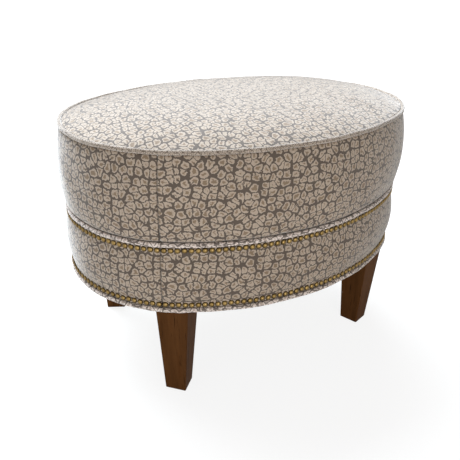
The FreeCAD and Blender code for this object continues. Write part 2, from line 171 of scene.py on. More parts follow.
def directions(along, start):
    """The direction that the plan faces at each length along it from a start direction."""
    arcs = stretches(start)
    lengths = np.array([radius * (high - low) for radius, low, high in arcs])
    ends = np.cumsum(lengths)
    angles = [arcs[0][1]] + [high for _, _, high in arcs]
    return np.interp(along, np.concatenate([[0], ends]), angles)


perimeter = sum(radius * (high - low) for radius, low, high in stretches(0))
seam_place = sum(
    radius * (min(high, seam_angle) - low) for radius, low, high in stretches(0) if low < seam_angle
)


def plan(angles, out):
    """Points of the plan facing these directions, moved out: an array ending in x, y."""
    angles, out = np.broadcast_arrays(np.asarray(angles, float), np.asarray(out, float))
    cosine = np.cos(angles)
    sine = np.sin(angles)
    at_end = np.abs(sine) <= math.sin(blend_angle) + 1e-9
    centre_x = np.where(at_end, np.sign(cosine) * end_centre, 0)
    centre_y = np.where(at_end, 0, -np.sign(sine) * side_centre)
    radius = np.where(at_end, end_radius, side_radius) + out
    return np.stack([centre_x + cosine * radius, centre_y + sine * radius], -1)


def inset_of(xy):
    """How far each point inside the plan lies from its edge."""
    x = np.abs(xy[..., 0])
    y = np.abs(xy[..., 1])
    to_end = np.hypot(x - end_centre, y)
    facing_end = y <= math.tan(blend_angle) * np.maximum(x - end_centre, 0)
    to_side = np.hypot(x, y + side_centre)
    return np.where(facing_end, end_radius - to_end, side_radius - to_side)


def waves(seed, along, across, count, shortest, longest, slope=1.0):
    """Gentle uneven waves that close up round the plan, from -1 to 1 or so."""
    chance = random.Random(seed)
    total = np.zeros(np.broadcast(along, across).shape)
    for _ in range(count):
        length = chance.uniform(shortest, longest)
        turns = max(1, round(perimeter / length))
        lean = chance.uniform(-slope, slope) * 2 * math.pi / length
        phase = chance.uniform(0, 2 * math.pi)
        total += np.cos(2 * math.pi * turns * along / perimeter + lean * across + phase)
    return total / math.sqrt(count)


# Meshes

def finish_mesh(piece, weld):
    """Turns outward and smooths a piece's mesh. With weld set, points that meet are joined."""
    mesh = piece.data
    work = bmesh.new()
    work.from_mesh(mesh)
    if weld:
        bmesh.ops.remove_doubles(work, verts=work.verts, dist=weld_distance)
        bmesh.ops.dissolve_degenerate(work, edges=work.edges, dist=1e-7)
    bmesh.ops.recalc_face_normals(work, faces=work.faces)
    work.to_mesh(mesh)
    work.free()
    mesh.polygons.foreach_set("use_smooth", [True] * len(mesh.polygons))


def grid_piece(name, points, uv, round_along, round_section, seam_shade=None):
    """A piece from a grid of points [section, along, xyz] with map places in metres. The
    grid may close round the plan, round its section, or both; open ends get caps. The last
    argument says how far each point lies in a sewn fold, from 0 to 1, and weights the shade painted
    along the seams."""
    across, along = points.shape[:2]
    rows = np.arange(across if round_section else across - 1)
    columns = np.arange(along if round_along else along - 1)
    i, j = np.meshgrid(rows, columns, indexing="ij")
    near = i * along
    far = (i + 1) % across * along
    ahead = (j + 1) % along
    quads = np.stack([near + j, near + ahead, far + ahead, far + j], -1).reshape(-1, 4)
    corners = np.stack([uv[i, j], uv[i, j + 1], uv[i + 1, j + 1], uv[i + 1, j]], -2)
    faces = [quads]
    places = [corners.reshape(-1, 2)]
    if not round_along:
        half = np.arange(across // 2 - 1)
        for end in (0, along - 1):
            ring = np.stack([half, half + 1, across - 2 - half, across - 1 - half], -1)
            faces.append(ring * along + end)
            places.append(uv[ring, end].reshape(-1, 2))
    mesh = bpy.data.meshes.new(name)
    mesh.from_pydata(points.reshape(-1, 3).tolist(), [], np.concatenate(faces).tolist())
    layer = mesh.uv_layers.new(name="cloth")
    layer.data.foreach_set("uv", np.concatenate(places).ravel())
    # Painted shade: a point attribute that darkens the cloth's colour along its sewn seams.
    if seam_shade is not None:
        painted_seam_shade = mesh.attributes.new("seam_shade", "FLOAT", "POINT")
        painted_seam_shade.data.foreach_set("value", np.broadcast_to(seam_shade, points.shape[:2]).ravel())
    piece = bpy.data.objects.new(name, mesh)
    bpy.context.collection.objects.link(piece)
    finish_mesh(piece, True)
    return piece


def eased(path, step, rounds):
    """A section's corners (out, up) resampled evenly and rounded a little."""
    path = np.asarray(path, float)
    lengths = np.concatenate([[0], np.cumsum(np.hypot(*np.diff(path, axis=0).T))])
    count = max(4, round(lengths[-1] / step)) + 1
    marks = np.linspace(0, lengths[-1], count)
    result = np.stack([np.interp(marks, lengths, path[:, axis]) for axis in (0, 1)], -1)
    for _ in range(rounds):
        result[1:-1] = (result[:-2] + 2 * result[1:-1] + result[2:]) / 4
    return result


def arc(start, middle, end, count):
    """Points (out, up) on the arc through three points."""
    (ax, ay), (bx, by), (cx, cy) = start, middle, end
    d = 2 * (ax * (by - cy) + bx * (cy - ay) + cx * (ay - by))
    a2, b2, c2 = ax * ax + ay * ay, bx * bx + by * by, cx * cx + cy * cy
    ux = (a2 * (by - cy) + b2 * (cy - ay) + c2 * (ay - by)) / d
    uy = (a2 * (cx - bx) + b2 * (ax - cx) + c2 * (bx - ax)) / d
    radius = math.hypot(ax - ux, ay - uy)
    first = math.atan2(ay - uy, ax - ux)
    last = math.atan2(cy - uy, cx - ux)
    turns = np.linspace(first, last, count)
    return [(ux + radius * math.cos(t), uy + radius * math.sin(t)) for t in turns]


def seam_lengths(total):
    """Lengths along half the plan, close together at the seams at both ends."""
    near = np.array([0, 0.0004, 0.0008, 0.0012, 0.0017, 0.0024, 0.0034])
    count = round((total - 2 * near[-1]) / step_along)
    middle = np.linspace(near[-1], total - near[-1], count + 1)[1:-1]
    return np.concatenate([near, middle, (total - near)[::-1]])


def seam_groove(along, total):
    """How far a cover draws in where two lengths of it are sewn end to end."""
    distance = np.minimum(along, total - along)
    groove = seam_depth * np.exp(-((distance / seam_width) ** 2))
    return groove + seam_shoulder_depth * np.exp(-distance / seam_shoulder_width)


def filling_draw(along):
    """How far a filling gives way behind the covers' two seams."""
    distance = np.abs((along + perimeter / 4) % (perimeter / 2) - perimeter / 4)
    return filling_give * np.exp(-((distance / filling_give_width) ** 2))


def wander(along, row):
    """How far a row of piping strays up or down from its level line."""
    return row_wander * waves(row, along, 0, 7, 0.06, 0.3)


# Covers

def half_cover(name, start, path, form):
    """Half of a side cover: a closed shell with its print's map, from one seam to the other.
    path is its outer section, and form gives (out, up) shifts of the points. The two halves'
    prints don't line up at the seams."""
    total = perimeter / 2
    along = seam_lengths(total)
    angles = directions(along, start)
    offset = (start - seam_angle) / math.pi * total
    where = along + offset
    out = path[:, None, 0] + np.zeros((1, len(along)))
    up = path[:, None, 1] + np.zeros((1, len(along)))
    shift_out, shift_up = form(where[None, :], path[:, None, 0], path[:, None, 1])
    tangent = np.gradient(path, axis=0)
    tangent /= np.hypot(*tangent.T)[:, None]
    outward = np.stack([tangent[:, 1], -tangent[:, 0]], -1)
    groove = seam_groove(along, total)[None, :]
    out = out + outward[:, None, 0] * (shift_out - groove)
    up = up + outward[:, None, 1] * (shift_out - groove) + shift_up
    inner_out = out - outward[:, None, 0] * cover
    inner_up = up - outward[:, None, 1] * cover
    all_out = np.concatenate([out, inner_out[::-1]])
    all_up = np.concatenate([up, inner_up[::-1]])
    xy = plan(angles[None, :], all_out)
    points = np.concatenate([xy, all_up[..., None]], -1)
    height = np.concatenate([[0], np.cumsum(np.hypot(*np.diff(path, axis=0).T))])
    height = np.concatenate([height, height[::-1], height[:1]])
    misfit = 0.4 * offset
    uv = np.stack(np.broadcast_arrays(where[None, :], height[:, None] + misfit), -1)
    # Painted shade: the cloth is darkened within about a millimetre of each seam.
    distance = np.minimum(along, total - along)
    seam_shade = np.exp(-((distance / 0.0011) ** 2))
    return grid_piece(name, points, uv, False, True, seam_shade[None, :])


def boxing_path():
    """The boxing's section, from its lower end inside to the lip behind the top piping."""
    foot = (boxing_foot_out, boxing_foot)
    bulge = (boxing_bulge_out, (boxing_foot + boxing_head) / 2)
    head = (boxing_head_out, boxing_head)
    corners = [(-tuck, boxing_end), (-tuck, boxing_turn)]
    corners += arc(foot, bulge, head, 40)
    corners += boxing_lip
    return eased(corners, step_up, 1)


def boxing_form(where, out, up):
    """Uneven filling, and puckers that fan out from the seams at the head and the foot."""
    middle = (boxing_foot + boxing_head) / 2
    reach = np.clip(1 - np.abs(up - middle) / (boxing_head - middle), 0, 1)
    lumps = boxing_lumps * waves(11, where, up, 9, 0.07, 0.28) * np.sqrt(reach)
    at_head = np.exp(-np.maximum(boxing_head - up, 0) / head_pucker_reach)
    at_foot = np.exp(-np.maximum(up - boxing_foot, 0) / foot_pucker_reach)
    edge = np.clip(reach * 12, 0, 1)
    puckers = head_puckers * waves(12, where, up, 8, 0.011, 0.03, 0.3) * at_head * edge
    puckers += foot_puckers * waves(13, where, up, 8, 0.010, 0.026, 0.3) * at_foot * edge
    follow_head = np.exp(-np.maximum(boxing_head - up, 0) / 0.02)
    follow_foot = np.exp(-np.abs(up - boxing_foot) / 0.015)
    lift = wander(where, 1) * follow_head + wander(where, 2) * follow_foot
    return lumps + puckers, lift


def apron_levels():
    """The apron's levels: its tuck's top, the strip under the lower nails, bulge and edge."""
    strip = nail_radius + 0.0004
    return (
        apron_tuck_top,
        lower_nail_row - strip,
        lower_nail_row + strip,
        upper_nail_row - strip,
        upper_nail_row + nail_radius,
    )


def apron_path():
    """The apron cover's section, from its turn under the frame to its edge at the upper nails."""
    tuck_top, strip_low, bulge_low, bulge_high, edge = apron_levels()
    middle = (bulge_low + bulge_high) / 2
    corners = [(-turn_under, frame_bottom - cover), (-tuck - tuck_round, frame_bottom - cover)]
    corners += [(-tuck, frame_bottom - cover + tuck_round), (-tuck, tuck_top), (0, strip_low)]
    corners += arc((0, bulge_low), (apron_bulge_out, middle), (0, bulge_high), 30)
    corners += [(0, edge)]
    return eased(corners, apron_step_up, 1)


def apron_form(where, out, up):
    """Uneven padding, and small pulls between neighbouring nails."""
    bulge_low, bulge_high = apron_levels()[2:4]
    middle = (bulge_low + bulge_high) / 2
    reach = np.clip(1 - np.abs(up - middle) / (bulge_high - middle), 0, 1)
    lumps = apron_lumps * waves(21, where, up, 9, 0.06, 0.24) * np.sqrt(reach)
    near = np.clip(reach * 8, 0, 1)
    high = np.exp(-np.abs(bulge_high - up) / nail_pull_reach)
    low = np.exp(-np.abs(bulge_low - up) / nail_pull_reach)
    nails = round(perimeter / nail_pitch)
    beat = -np.cos(2 * math.pi * nails * where / perimeter)
    pulls = (nail_beat * beat + nail_pulls * waves(22, where, up, 8, 0.012, 0.03, 0.3)) * near
    return lumps + pulls * (high + low), np.zeros_like(lumps)


def rings_piece(name, out, share, up, draw=0.0):
    """A piece of rings round the plan, from arrays over its rings, mapped from above. share is
    how far a ring shrinks from the edge to the middle line, up may be a function of the place,
    and draw is 1 where the piece gives way at the seams. Rings are the same on both sides of
    the middle line, so their points meet there."""
    count = 4 * round(perimeter / step_along / 4)
    lengths = np.linspace(0, perimeter, count + 1)[:-1]
    angles = directions(lengths, 0)
    along = (lengths - seam_place) % perimeter
    drawn = np.asarray(out)[:, None] - draw * filling_draw(along)[None, :]
    edge = plan(angles[None, :], drawn)
    spine = np.stack([plan(angles, out[0])[:, 0] * 0.45, np.zeros(count)], -1)
    xy = edge + (spine[None] - edge) * np.asarray(share)[:, None, None]
    heights = np.stack([
        level(row, along, part) if callable(level) else np.full(count, level)
        for level, row, part in zip(up, xy, share)
    ])
    points = np.concatenate([xy, heights[..., None]], -1)
    uv = np.concatenate([xy, xy[:, :1]], 1)
    return grid_piece(name, points, uv, True, False)


def crown(drop, uneven=0.0):
    """A function for the height of the crowned top at each place, lowered by drop."""
    span = half_width - seat_edge_in

    def height(xy, along, share):
        inset = np.clip((inset_of(xy) - seat_edge_in) / span, 0, 1)
        inward = inset + (share - inset) * share**2
        rise = crown_rise * (1 - (1 - inward) ** crown_power)
        deep = np.clip(inset * 14, 0, 1)
        wavy = uneven * waves(31, along, inset, 9, 0.07, 0.3, 0.2) * deep * (1 - share) ** 1.5
        pucker = uneven * crown_pucker_share * waves(32, along, inset, 8, 0.012, 0.035, 0.05)
        pucker *= np.exp(-inset * span / crown_pucker_reach) * np.clip(inset * span / 0.0025, 0, 1)
        follow = wander(along, 1) * np.exp(-inset * span / 0.015)
        return top_row + seat_edge_up + rise + wavy + pucker + follow - drop

    return height


def make_top_panel():
    """The seat's crowned top: a shell whose edge turns down behind the piping."""
    inward = np.concatenate([[0, 0.004, 0.009, 0.015, 0.022, 0.031], np.linspace(0.043, 1, 64)])
    count = len(inward)
    out = np.full(count, -seat_edge_in)
    outer = [crown(0, crown_lumps)] * count
    inner = [crown(cover, crown_lumps)] * count
    flange = [
        (-seat_edge_in - 0.0002, flange_head),
        (-seat_edge_in - 0.0003, flange_foot),
        (-seat_edge_in - cover, flange_foot),
        (-seat_edge_in - cover - 0.0001, flange_head),
    ]
    all_out = np.concatenate([out, [place for place, _ in flange], out - cover])
    share = np.concatenate([inward[::-1], np.zeros(len(flange)), inward])
    up = outer + [level for _, level in flange] + inner
    return rings_piece("top_cover", all_out, share, up)


def make_filling(name, shrink, hollow):
    """The foam, or with hollow set the batting that wraps its top and sides."""
    def side(less):
        """The side's rings from head to foot, inside the boxing by less: out and height."""
        low = boxing_foot + gap
        high = boxing_head - filling_clear - less
        foot = (boxing_foot_out, boxing_foot)
        bulge = (boxing_bulge_out, (boxing_foot + boxing_head) / 2)
        head = (boxing_head_out, boxing_head)
        path = np.array(arc(foot, bulge, head, 60))
        heights = np.linspace(high, low, 30)
        return [(np.interp(h, path[:, 1], path[:, 0]) - less, h) for h in heights]

    inward = np.concatenate([[0, 0.006, 0.014, 0.025], np.linspace(0.045, 1, 40)])

    def shell(less):
        """Rings from the middle of the top to the foot: out, share and height."""
        edge = -seat_edge_in - filling_clear - less
        top = [(edge, part, crown(less)) for part in inward[::-1]]
        sides = [(place, 0, level) for place, level in side(less)]
        foot_out = -tuck - less
        sides += [(foot_out, 0, boxing_foot - 0.0025), (foot_out, 0, foam_bottom)]
        return top + sides

    rings = shell(shrink)
    if hollow:
        rings += shell(shrink + batting)[::-1]
    else:
        rings += [(rings[-1][0], part, foam_bottom) for part in inward[1:]]
    out, share, up = zip(*rings)
    return rings_piece(name, out, share, up, 1.0)


def make_apron_padding():
    """A pad all round between the band and the apron's cover."""
    bulge_low, bulge_high = apron_levels()[2:4]
    middle = (bulge_low + bulge_high) / 2
    skin = cover + gap
    face = arc((-skin, bulge_low), (apron_bulge_out - skin, middle), (-skin, bulge_high), 24)
    inner = -tuck - cover
    path = [(inner, bulge_low)] + face
    path += [(-tuck + gap, bulge_high), (-tuck + gap, padding_step), (inner, padding_step)]
    path = eased(path + path[:1], step_up, 0)[:-1]

    def form(along, section):
        """The pad's face gives way at the covers' seams, and its back stays."""
        at_face = section[:, :1] > -tuck / 2
        return -filling_draw(along) * at_face, 0.0

    return ring_of_section("apron_pad", path, 0.0, form)


def ring_of_section(name, section, bias, form):
    """A closed section carried all round the plan, with its print set at a slant."""
    count = round(perimeter / step_along * 1.5)
    along = np.linspace(0, perimeter, count + 1)[:-1]
    angles = directions(along, seam_angle)
    shift_out, shift_up = form(along[None, :], section)
    out = section[:, None, 0] + np.zeros((1, count)) + shift_out
    up = section[:, None, 1] + np.zeros((1, count)) + shift_up
    xy = plan(angles[None, :], out)
    points = np.concatenate([xy, up[..., None]], -1)
    closed = np.concatenate([section, section[:1]])
    girth = np.concatenate([[0], np.cumsum(np.hypot(*np.diff(closed, axis=0).T))])
    length = np.append(along, perimeter)
    cosine, sine = math.cos(bias), math.sin(bias)
    u = length[None, :] * cosine - girth[:, None] * sine
    v = length[None, :] * sine + girth[:, None] * cosine
    return grid_piece(name, points, np.stack([u, v], -1), True, True)


def make_welt(name, row, out, level):
    """A tube of cover fabric sewn round a cord: uneven, with fine slanting creases."""
    turns = np.linspace(0, 2 * math.pi, 21)[:-1]
    section = np.stack([out + welt_radius * np.cos(turns), level + welt_radius * np.sin(turns)], -1)

    def form(along, section):
        turn = turns[:, None]
        creases = welt_crease_depth * np.cos(
            2 * math.pi * round(perimeter / welt_crease_pitch) * along / perimeter
            + 1.3 * np.sin(turn)
            + 2.2 * waves(40 + row, along, 0, 6, 0.02, 0.09)
        )
        fat = welt_fatness * waves(50 + row, along, turn * 0.01, 8, 0.012, 0.06)
        swell = creases + fat - welt_slack
        stray = welt_stray * waves(60 + row, along, 0, 6, 0.05, 0.2)
        return swell * np.cos(turn) + stray, swell * np.sin(turn) + wander(along, row)

    return ring_of_section(name, section, welt_slant, form)


# Nails

def make_nails(name, row, level):
    """A row of domed nails, each driven in a little differently."""
    chance = random.Random(70 + row)
    count = round(perimeter / nail_pitch)
    dome_radius = (nail_radius**2 + nail_height**2) / (2 * nail_height)
    reach = math.asin(nail_radius / dome_radius)
    profile = []
    for part in (0.0, 0.2, 0.4, 0.6, 0.8, 0.93, 1.0):
        turn = reach * part
        height = nail_height - dome_radius * (1 - math.cos(turn))
        profile.append((dome_radius * math.sin(turn), height))
    profile += [(nail_radius - 0.0004, -0.00002), (nail_shank, 0.0)]
    profile += [(nail_shank, -nail_length * 0.75), (0.0, -nail_length)]
    segments = 20
    turns = np.linspace(0, 2 * math.pi, segments, endpoint=False)
    shape = []
    for radius, height in profile[1:-1]:
        for turn in turns:
            shape.append((height, radius * math.cos(turn), radius * math.sin(turn)))
    shape.append((profile[0][1], 0, 0))
    shape.append((profile[-1][1], 0, 0))
    rings = len(profile) - 2
    faces = []
    for ring in range(rings - 1):
        for segment in range(segments):
            after = (segment + 1) % segments
            near, far = ring * segments, (ring + 1) * segments
            faces.append((near + segment, near + after, far + after, far + segment))
    for segment in range(segments):
        after = (segment + 1) % segments
        last = (rings - 1) * segments
        faces.append((segment, rings * segments, after))
        faces.append((last + segment, last + after, rings * segments + 1))
    # How high each point stands on its dome, for the brass's colour: bright at the crown and darker
    # towards the rim, partly wear and partly painted shade.
    wear_and_shade = [max(0.0, height / nail_height) for height, _, _ in shape]
    verts = []
    all_faces = []
    tones = []
    lengths = (np.arange(count) + 0.5) * perimeter / count
    for length, angle in zip(lengths, directions(lengths, seam_angle)):
        place = plan(angle, 0.0)
        tilt = Matrix.Rotation(math.radians(chance.gauss(0, nail_lean)), 4, "Y")
        tilt @= Matrix.Rotation(math.radians(chance.gauss(0, nail_lean)), 4, "Z")
        size = 1 + chance.uniform(-nail_shrink, 0.0)
        slip = Vector((0, chance.gauss(0, nail_slip_along), chance.gauss(0, nail_slip_up)))
        stand = Matrix.Translation(Vector((place[0], place[1], level)))
        stand @= Matrix.Rotation(angle, 4, "Z") @ Matrix.Translation(slip) @ tilt
        first = len(verts)
        verts += [stand @ Vector((x, y * size, z * size)) for x, y, z in shape]
        all_faces += [tuple(first + corner for corner in face) for face in faces]
        tones += [chance.random()] * len(shape)
    mesh = bpy.data.meshes.new(name)
    mesh.from_pydata(verts, [], all_faces)
    tone = mesh.attributes.new("tone", "FLOAT", "POINT")
    tone.data.foreach_set("value", tones)
    wear_and_rim_shade = mesh.attributes.new("wear_and_rim_shade", "FLOAT", "POINT")
    wear_and_rim_shade.data.foreach_set("value", wear_and_shade * count)
    piece = bpy.data.objects.new(name, mesh)
    bpy.context.collection.objects.link(piece)
    finish_mesh(piece, False)
    mesh.set_sharp_from_angle(angle=math.radians(50))
    return piece


# Cloths under the seat and under the stool

def make_cloth(name, node, sag, uneven, seed):
    """A thin oval cloth in place of a node, slack by sag in its middle."""
    low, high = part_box(node)
    out = high.x - half_length
    inward = np.concatenate([[0, 0.004, 0.01, 0.02], np.linspace(0.035, 1, 40)])

    def level(base):
        def height(xy, along, share):
            inset = np.clip((inset_of(xy) + out) / (half_width + out), 0, 1)
            held = np.clip((inset * (half_width + out) - 0.045) / 0.08, 0, 1)
            slack = held * held * (3 - 2 * held)
            wrinkles = uneven * waves(seed, along, inset * 0.2, 8, 0.05, 0.2, 0.6) * slack
            return base - sag * slack + wrinkles * (1 - share)
        return height

    rings = [(out, part, level(high.z)) for part in inward[::-1]]
    rings += [(out, part, level(low.z)) for part in inward]
    outs, shares, ups = zip(*rings)
    return rings_piece(name, outs, shares, ups)


# Materials

class Shader:
    """A node material, with short calls for the nodes that it is built from."""

    def __init__(self, name, **surface):
        self.material = bpy.data.materials.new(name)
        self.material.use_nodes = True
        self.tree = self.material.node_tree
        self.surface = self.tree.nodes["Principled BSDF"]
        for socket, value in surface.items():
            self.surface.inputs[socket.replace("_", " ")].default_value = value

    def node(self, kind, inputs=None, **settings):
        made = self.tree.nodes.new("ShaderNode" + kind)
        for setting, value in settings.items():
            setattr(made, setting, value)
        for socket, value in (inputs or {}).items():
            self.give(made.inputs[socket], value)
        return made

    def give(self, socket, value):
        if isinstance(value, bpy.types.NodeSocket):
            self.tree.links.new(value, socket)
        else:
            socket.default_value = value

    def math(self, operation, *values):
        made = self.node("Math", operation=operation)
        for socket, value in zip(made.inputs, values):
            self.give(socket, value)
        return made.outputs[0]

    def vector(self, operation, *values):
        made = self.node("VectorMath", operation=operation)
        for socket, value in zip(made.inputs, values):
            self.give(socket, value)
        return made.outputs[0]

    def scaled(self, vector, scale):
        return self.vector("MULTIPLY", vector, scale)

    def step(self, value, low, high):
        """0 below low and 1 above high, smooth between them; low may be above high."""
        return self.node(
            "MapRange", {0: value, 1: low, 2: high}, interpolation_type="SMOOTHSTEP"
        ).outputs[0]

    def range(self, value, low, high):
        return self.node("MapRange", {0: value, 3: low, 4: high}).outputs[0]

    def mix(self, factor, first, second):
        made = self.node("Mix", data_type="RGBA")
        self.give(made.inputs[0], factor)
        self.give(made.inputs[6], first)
        self.give(made.inputs[7], second)
        return made.outputs[2]

    def noise(self, vector, scale, detail=3.0, roughness=0.5, flat=False, output=0):
        made = self.node(
            "TexNoise",
            {"Vector": vector, "Scale": scale, "Detail": detail, "Roughness": roughness},
            noise_dimensions="2D" if flat else "3D",
        )
        return made.outputs[output]

    def object_place(self):
        return self.node("TexCoord").outputs["Object"]

    def cloth_place(self):
        return self.node("UVMap", uv_map="cloth").outputs["UV"]

    def split(self, vector):
        return self.node("SeparateXYZ", {0: vector}).outputs

    def set(self, socket, value):
        self.give(self.surface.inputs[socket], value)

    def bump(self, height, depth, strength=1.0):
        """Lays a bump of real depth in metres over the surface."""
        made = self.node("Bump", {"Height": height, "Distance": depth, "Strength": strength})
        self.give(self.surface.inputs["Normal"], made.outputs[0])


def colour(red, green, blue):
    """A colour as it shows on screen, 0 to 255, as a shader's linear one."""
    def linear(value):
        value /= 255
        return value / 12.92 if value <= 0.04045 else ((value + 0.055) / 1.055) ** 2.4
    return (linear(red), linear(green), linear(blue), 1.0)


def weave(shader, place, pitch):
    """Over and under threads, from 0 to 1."""
    x, y, _ = shader.split(shader.scaled(place, (math.pi / pitch,) * 3))
    threads = shader.math("MULTIPLY", shader.math("SINE", x), shader.math("SINE", y))
    return shader.math("MULTIPLY_ADD", threads, 0.5, 0.5)


def spotted_cloth(name, cell, pale, ground, heart):
    """Woven cloth with a common leopard spot: pale rings with a darker heart, some of them
    notched on one side, on a grey-taupe ground. cell is the usual distance of the spots."""
    shader = Shader(
        name,
        Roughness=0.72,
        Sheen_Weight=0.75,
        Sheen_Roughness=0.36,
        Sheen_Tint=(1.0, 1.0, 1.0, 1.0),
        Specular_IOR_Level=0.12,
    )
    place = shader.cloth_place()
    cells = shader.scaled(place, (1 / cell,) * 3)
    bend = shader.vector("SUBTRACT", shader.noise(cells, 0.85, 1.5, 0.5, True, 1), (0.5,) * 3)
    ragged = shader.vector("SUBTRACT", shader.noise(cells, 2.6, 2.0, 0.6, True, 1), (0.5,) * 3)
    moved = shader.vector("ADD", cells, shader.scaled(bend, (0.5,) * 3))
    moved = shader.vector("ADD", moved, shader.scaled(ragged, (0.4,) * 3))
    look = {"Vector": moved, "Scale": 1.0, "Randomness": 0.77}
    edges = shader.node("TexVoronoi", look, voronoi_dimensions="2D", feature="DISTANCE_TO_EDGE")
    nearest = shader.node("TexVoronoi", look, voronoi_dimensions="2D", feature="F1")
    edge = edges.outputs["Distance"]
    distance = nearest.outputs["Distance"]
    chance = shader.node("SeparateColor", {0: nearest.outputs["Color"]}).outputs
    local = shader.vector("SUBTRACT", moved, nearest.outputs["Position"])
    turned = shader.node(
        "VectorRotate",
        {"Vector": local, "Angle": shader.math("MULTIPLY", chance[0], 2 * math.pi)},
        rotation_type="Z_AXIS",
    ).outputs[0]
    ahead, beside, _ = shader.split(turned)
    uneven = shader.noise(cells, 1.7, 2.0, 0.5, True)
    corner = shader.math("MAXIMUM", shader.math("SUBTRACT", distance, 0.34), 0.0)
    border = shader.math("MULTIPLY_ADD", corner, 0.38, shader.range(uneven, 0.034, 0.09))
    ring = shader.step(shader.math("SUBTRACT", edge, border), -0.022, 0.022)
    notched = shader.math("GREATER_THAN", chance[1], 0.6)
    wide = shader.math("MULTIPLY_ADD", ahead, 0.14, 0.02)
    beyond = shader.math("SUBTRACT", shader.math("ABSOLUTE", beside), wide)
    inside = shader.step(beyond, 0.03, -0.02)
    notch = shader.math("MULTIPLY", inside, shader.step(ahead, 0.08, 0.16))
    notch = shader.math("MULTIPLY", notch, notched)
    ring = shader.math("MULTIPLY", ring, shader.math("SUBTRACT", 1.0, notch))
    middle = shader.noise(cells, 3.1, 2.0, 0.55, True)
    heart_edge = shader.math("MULTIPLY_ADD", middle, 0.36, 0.14)
    inner = shader.step(shader.math("SUBTRACT", edge, heart_edge), -0.05, 0.05)
    inner = shader.math("MULTIPLY", inner, ring)
    fibres = shader.noise(shader.scaled(place, (900.0, 260.0, 1.0)), 1.0, 3.0, 0.6, True)
    wear_and_shade = shader.noise(shader.scaled(place, (14.0,) * 3), 1.0, 2.0, 0.5, True)
    light = shader.mix(shader.math("MULTIPLY", middle, 0.45), pale, heart)
    shade = shader.mix(ring, ground, light)
    shade = shader.mix(inner, shade, heart)
    shade = shader.mix(shader.math("MULTIPLY", wear_and_shade, 0.18), shade, ground)
    shade = shader.mix(shader.math("MULTIPLY", fibres, 0.16), shade, colour(72, 64, 58))
    # Painted shade: a dark tone laid over the cloth along its sewn seams.
    painted_seam_shade = shader.node("Attribute", attribute_name="seam_shade").outputs["Fac"]
    shade = shader.mix(shader.math("MULTIPLY", painted_seam_shade, 0.55), shade, colour(48, 41, 36))
    shader.set("Base Color", shade)
    threads = weave(shader, place, 0.0011)
    raised = shader.math("MULTIPLY_ADD", ring, 0.5, shader.math("MULTIPLY", threads, 0.4))
    raised = shader.math("MULTIPLY_ADD", fibres, 0.25, raised)
    shader.bump(raised, 0.00035, 0.7)
    return shader.material


def walnut():
    """Dark stained walnut under a satin finish, its grain up the leg."""
    shader = Shader("walnut", Roughness=0.5, Specular_IOR_Level=0.008)
    place = shader.object_place()
    drawn = shader.scaled(place, (1.0, 1.0, 0.07))
    figure = shader.noise(drawn, 62.0, 5.0, 0.62)
    streaks = shader.noise(shader.scaled(place, (1.0, 1.0, 0.022)), 420.0, 3.0, 0.6)
    pores = shader.step(streaks, 0.60, 0.72)
    wood = shader.mix(figure, colour(44, 24, 9), colour(104, 68, 38))
    wood = shader.mix(shader.step(figure, 0.52, 0.62), wood, colour(78, 48, 24))
    wood = shader.mix(shader.math("MULTIPLY", pores, 0.7), wood, colour(24, 13, 7))
    shader.set("Base Color", wood)
    shader.set("Roughness", shader.range(streaks, 0.38, 0.55))
    shader.bump(shader.math("SUBTRACT", 1.0, pores), 0.00012, 0.6)
    return shader.material


def antique_brass():
    """Domed brass, polished bright at each crown and darkened towards the rim, partly wear and partly
    painted shade; a little different from nail to nail.
    """
    shader = Shader("antique_brass", Metallic=1.0, Roughness=0.32)
    place = shader.object_place()
    tone = shader.node("Attribute", attribute_name="tone").outputs["Fac"]
    stain = shader.noise(place, 420.0, 3.0, 0.6)
    tarnish = shader.math("MULTIPLY_ADD", tone, 0.35, shader.math("MULTIPLY", stain, 0.6))
    wear_and_rim_shade = shader.node("Attribute", attribute_name="wear_and_rim_shade").outputs["Fac"]
    metal = shader.mix(tarnish, colour(152, 128, 82), colour(92, 73, 39))
    # Painted shade, partly tarnish: each dome darkens towards this brown at its rim.
    metal = shader.mix(shader.step(wear_and_rim_shade, 0.15, 0.85), colour(52, 40, 20), metal)
    shader.set("Base Color", metal)
    shader.set("Roughness", shader.range(stain, 0.34, 0.54))
    shader.bump(shader.noise(place, 900.0, 2.0), 0.00006, 0.5)
    return shader.material


def plywood():
    """Birch plywood: thin layers at its edges and a pale grain on its faces."""
    shader = Shader("plywood", Roughness=0.68)
    place = shader.object_place()
    _, _, z = shader.split(place)
    layers = shader.math("SINE", shader.math("MULTIPLY", z, 2 * math.pi / 0.0028))
    grain = shader.noise(shader.scaled(place, (8.0, 130.0, 130.0)), 1.0, 4.0, 0.6)
    wood = shader.mix(grain, colour(206, 176, 132), colour(176, 140, 96))
    wood = shader.mix(shader.step(layers, 0.1, 0.9), wood, colour(150, 112, 72))
    shader.set("Base Color", wood)
    shader.bump(grain, 0.0002, 0.5)
    return shader.material


def pine():
    """Sawn softwood with its grain upright."""
    shader = Shader("pine", Roughness=0.7)
    place = shader.object_place()
    grain = shader.noise(shader.scaled(place, (110.0, 110.0, 7.0)), 1.0, 4.0, 0.6)
    wood = shader.mix(grain, colour(222, 190, 140), colour(182, 138, 88))
    shader.set("Base Color", wood)
    shader.bump(grain, 0.0003, 0.6)
    return shader.material


def zinc():
    """Plain zinc-plated steel."""
    shader = Shader("zinc_steel", Metallic=1.0, Roughness=0.35)
    place = shader.object_place()
    cloudy = shader.noise(place, 240.0, 3.0, 0.6)
    shader.set("Base Color", shader.mix(cloudy, colour(196, 198, 200), colour(148, 150, 154)))
    shader.set("Roughness", shader.range(cloudy, 0.28, 0.48))
    return shader.material


